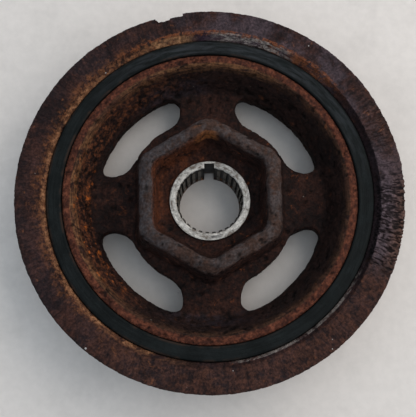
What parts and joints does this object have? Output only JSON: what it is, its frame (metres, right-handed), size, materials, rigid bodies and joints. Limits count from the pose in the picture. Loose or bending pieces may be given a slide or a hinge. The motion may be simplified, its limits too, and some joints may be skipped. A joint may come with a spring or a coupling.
{
  "type": "ribbed belt pulley with torsional damper",
  "caption": "Crankshaft belt pulley: a cast hub with a six-sided holding socket and kidney windows, joined by a rubber ring to a ribbed belt ring.",
  "frame": {"origin": "centre of the bore at the hub's rear end, which is the lowest plane of the part", "axes": "+Z along the bore axis towards the front (bolt seat) side; +Y from the bore axis towards the keyway"},
  "size_m": [0.172, 0.172, 0.0345],
  "materials": {
    "hub_iron": "rough rusted casting with a bright machined bolt seat and bore",
    "rubber": "smooth satin black rubber",
    "ring_iron": "turned iron, rusted brown with a scaly surface"
  },
  "bodies": {
    "hub": {"hub": "hub_iron", "rubber_ring": "rubber"},
    "ring": {"belt_ring": "ring_iron"}
  },
  "joints": [
    {"name": "ring_twist", "type": "hinge", "parent": "hub", "child": "ring", "pos_m": [0, 0, 0.01925], "axis": [0, 0, 1], "range_deg": [-2, 2], "stiffness_Nm_per_rad": 1500}
  ]
}
